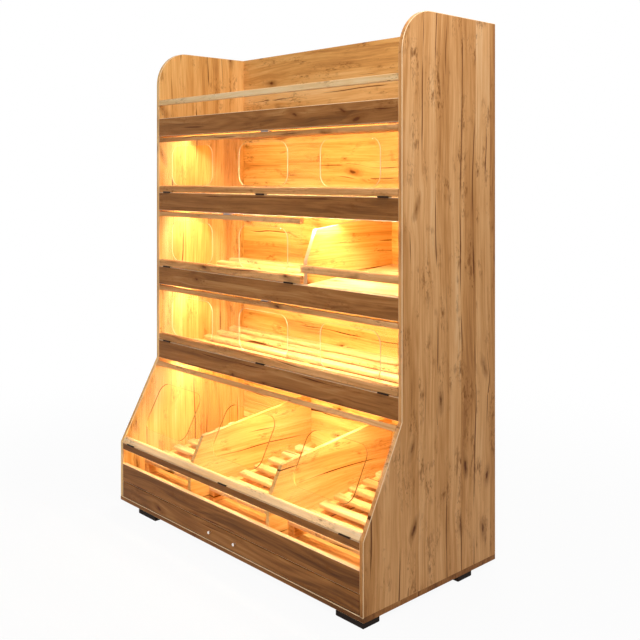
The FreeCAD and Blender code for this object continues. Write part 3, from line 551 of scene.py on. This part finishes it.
rail_low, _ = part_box("bin_rail")
for number, across in enumerate(BIN_BOUNCE_PLACES, 1):
    start = (across, rail_low.y + BEHIND_RAIL, rail_low.z + ABOVE_RAIL)
    target = (across, rail_low.y + AIM_BEHIND_RAIL, 0)
    bounces.append(softbox(f"bounce_bin_{number}", start, target, BIN_BOUNCE_SIDES, BIN_BOUNCE_WATTS,
                           BOUNCE_COLOUR))
for bounce in bounces:
    bounce.visible_glossy = False
print("bounce lamps:", len(bounces))

# %% [markdown]
# ## Polished edges of the hand holes
# Light that travels inside the sheet leaves it at its cut edges, so each hand hole is drawn as a thin
# bright line. The bin's sheet leans away from its strip, so its edges stay darker. The edge is its own
# small piece: a cube is stretched to the hole's size, its four short edges are bevelled round, its front
# and back are taken off, and the band left over gets a thickness.

# %% Hand-hole edges
HOLE_WIDTH, HOLE_RADIUS, EDGE_DEPTH, EDGE_WALL = 0.300, 0.045, 0.0043, 0.0005
HOLE_PITCH = 0.962666 / 2
HOLE_CENTRES = (-HOLE_PITCH, 0.0, HOLE_PITCH)

# How far up its flap a hole starts, and how tall it is.
TIER_HOLE = (0.031, 0.172)
BIN_HOLE = (0.086, 0.205)
HOLES = (("tier1_flap", HOLE_CENTRES, *TIER_HOLE), ("tier2_flap", HOLE_CENTRES[:2], *TIER_HOLE),
         ("tier3_flap", HOLE_CENTRES, *TIER_HOLE), ("bin_flap", HOLE_CENTRES, *BIN_HOLE))

# The bin's flap leans back from the front lower corner of its face. A sheet's middle is this deep in a flap.
LEAN_BACK = math.atan(184 / 345)
BIN_FLAP_CORNER = (-0.3435, 0.275)
SHEET_DEPTH = 0.011


def piece(name, mesh, material, body):
    """Turns a bmesh into an object with one material, which rides on a body."""
    data = bpy.data.meshes.new(name)
    mesh.to_mesh(data)
    mesh.free()
    item = bpy.data.objects.new(name, data)
    scene.collection.objects.link(item)
    data.materials.append(material)
    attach(item, body)
    return item


def add_copy(mesh, part, turn_and_place):
    """Adds a transformed copy of one bmesh to another."""
    data = bpy.data.meshes.new("part")
    part.to_mesh(data)
    data.transform(turn_and_place)
    mesh.from_mesh(data)
    bpy.data.meshes.remove(data)


def hole_edge(height):
    """The band that lines a hole of one height, about its own middle."""
    band = bmesh.new()
    bmesh.ops.create_cube(band, size=1)
    bmesh.ops.scale(band, vec=(HOLE_WIDTH, EDGE_DEPTH, height), verts=band.verts)
    short = [e for e in band.edges if abs(e.verts[0].co.y - e.verts[1].co.y) > EDGE_DEPTH / 2]
    bmesh.ops.bevel(band, geom=short, offset=HOLE_RADIUS, offset_type="OFFSET", segments=8, profile=0.5,
                    affect="EDGES", material=-1)
    caps = [f for f in band.faces if abs(f.normal.y) > 0.9]
    bmesh.ops.delete(band, geom=caps, context="FACES_ONLY")
    bmesh.ops.solidify(band, geom=band.faces[:], thickness=EDGE_WALL)
    bmesh.ops.recalc_face_normals(band, faces=band.faces)
    return band


cut_edge, _, _ = new_material(
    "polished_acrylic_edge", Base_Color=colour("#dccba4"), Roughness=0.15, IOR=1.49)
shaded_edge, _, _ = new_material(
    "shaded_acrylic_edge", Base_Color=colour("#8a7448"), Roughness=0.15, IOR=1.49)
for flap, centres, low, height in HOLES:
    foot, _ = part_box(f"{flap}_bottom_batten")
    lean = LEAN_BACK if flap == "bin_flap" else 0.0
    if lean:
        foot = Vector((foot.x, *BIN_FLAP_CORNER))
    along = low + height / 2
    middle = (foot.y + math.sin(lean) * along + math.cos(lean) * SHEET_DEPTH,
              foot.z + math.cos(lean) * along - math.sin(lean) * SHEET_DEPTH)
    edges = bmesh.new()
    band = hole_edge(height)
    for centre in centres:
        spot = Matrix.Translation((centre, *middle)) @ Matrix.Rotation(-lean, 4, "X")
        add_copy(edges, band, spot)
    band.free()
    item = piece(f"{flap}_hand_hole_edges", edges, shaded_edge if lean else cut_edge, flap)
    print(item.name, "faces:", len(item.data.polygons))

# %% [markdown]
# ## Poles of the magnetic catches
# Each white catch holds a magnet between two thin steel poles, which stand just proud of its face and
# touch the plate on the flap. They are small bars with bevelled edges.

# %% Catch poles
POLE_SIZE, POLE_BEVEL = (0.034, 0.004, 0.0016), 0.0004
POLE_DROPS = (0.0045, 0.0100)
PLATE_GAP, POLE_STAND = 0.0003, 0.00015


def bar(size, bevel):
    """A bar of three sizes about its middle, with every edge bevelled."""
    shape = bmesh.new()
    bmesh.ops.create_cube(shape, size=1)
    bmesh.ops.scale(shape, vec=size, verts=shape.verts)
    bmesh.ops.bevel(shape, geom=shape.edges[:], offset=bevel, offset_type="OFFSET", segments=2,
                    profile=0.5, affect="EDGES", material=-1)
    return shape


poles = bmesh.new()
pole = bar(POLE_SIZE, POLE_BEVEL)
for number in (1, 2, 3):
    strike_low, strike_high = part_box(f"tier{number}_flap_strike_plate")
    shelf_low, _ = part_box(f"shelf_{number}")
    across = (strike_low.x + strike_high.x) / 2
    inwards = strike_high.y + PLATE_GAP + POLE_SIZE[1] / 2 - POLE_STAND
    for drop in POLE_DROPS:
        add_copy(poles, pole, Matrix.Translation((across, inwards, shelf_low.z - drop)))
pole.free()
item = piece("catch_poles", poles, plated, "carcass")
print(item.name, "faces:", len(item.data.polygons))

# %% [markdown]
# ## Screws in the back
# The back panel is screwed to the rear edges of the shelves and of the drawer's ceiling. A screw head is a
# short cylinder, bevelled round its rim. Its top face is inset and pushed down, which gives the recess for
# the driver, drawn round because its cross is too fine to show. Each head has fewer than a hundred faces.

# %% Back screws
SCREW_RADIUS, SCREW_STAND = 0.0042, 0.0008
SCREW_DEPTH, RIM_BEVEL = 0.003, 0.0005
RECESS_INSET, RECESS_WALL, RECESS_DEPTH = 0.0018, 0.0003, 0.0012
SCREW_PLACES = (-0.64, -0.32, 0.0, 0.32, 0.64)
HALF_BOARD = 0.009


def screw_head():
    """A screw head that looks along +Z, about the middle of its depth."""
    head = bmesh.new()
    bmesh.ops.create_cone(head, cap_ends=True, segments=16, radius1=SCREW_RADIUS, radius2=SCREW_RADIUS,
                          depth=SCREW_DEPTH)
    rim = [e for e in head.edges if all(v.co.z > 0 for v in e.verts)]
    bmesh.ops.bevel(head, geom=rim, offset=RIM_BEVEL, offset_type="OFFSET", segments=2, profile=0.5,
                    affect="EDGES", material=-1)
    top = max(head.faces, key=lambda f: f.calc_center_median().z)
    bmesh.ops.inset_individual(head, faces=[top], thickness=RECESS_INSET, depth=0)
    bmesh.ops.inset_individual(head, faces=[top], thickness=RECESS_WALL, depth=-RECESS_DEPTH)
    return head


screws = bmesh.new()
head = screw_head()
_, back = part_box("back_panel")
turn = Matrix.Rotation(math.radians(-90), 4, "X")
for name in ("drawer_ceiling", "shelf_4", "shelf_3", "shelf_2", "shelf_1"):
    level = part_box(name)[0].z + HALF_BOARD
    for across in SCREW_PLACES:
        spot = Matrix.Translation((across, back.y - SCREW_DEPTH / 2 + SCREW_STAND, level))
        add_copy(screws, head, spot @ turn)
print("faces of one screw head:", len(head.faces))
head.free()
item = piece("back_screws", screws, plated, "carcass")
print(item.name, "faces:", len(item.data.polygons))

# %% [markdown]
# ## The end
# The picture is shown through Blender's Standard view transform.

# %% Finish
scene.view_settings.view_transform = "Standard"
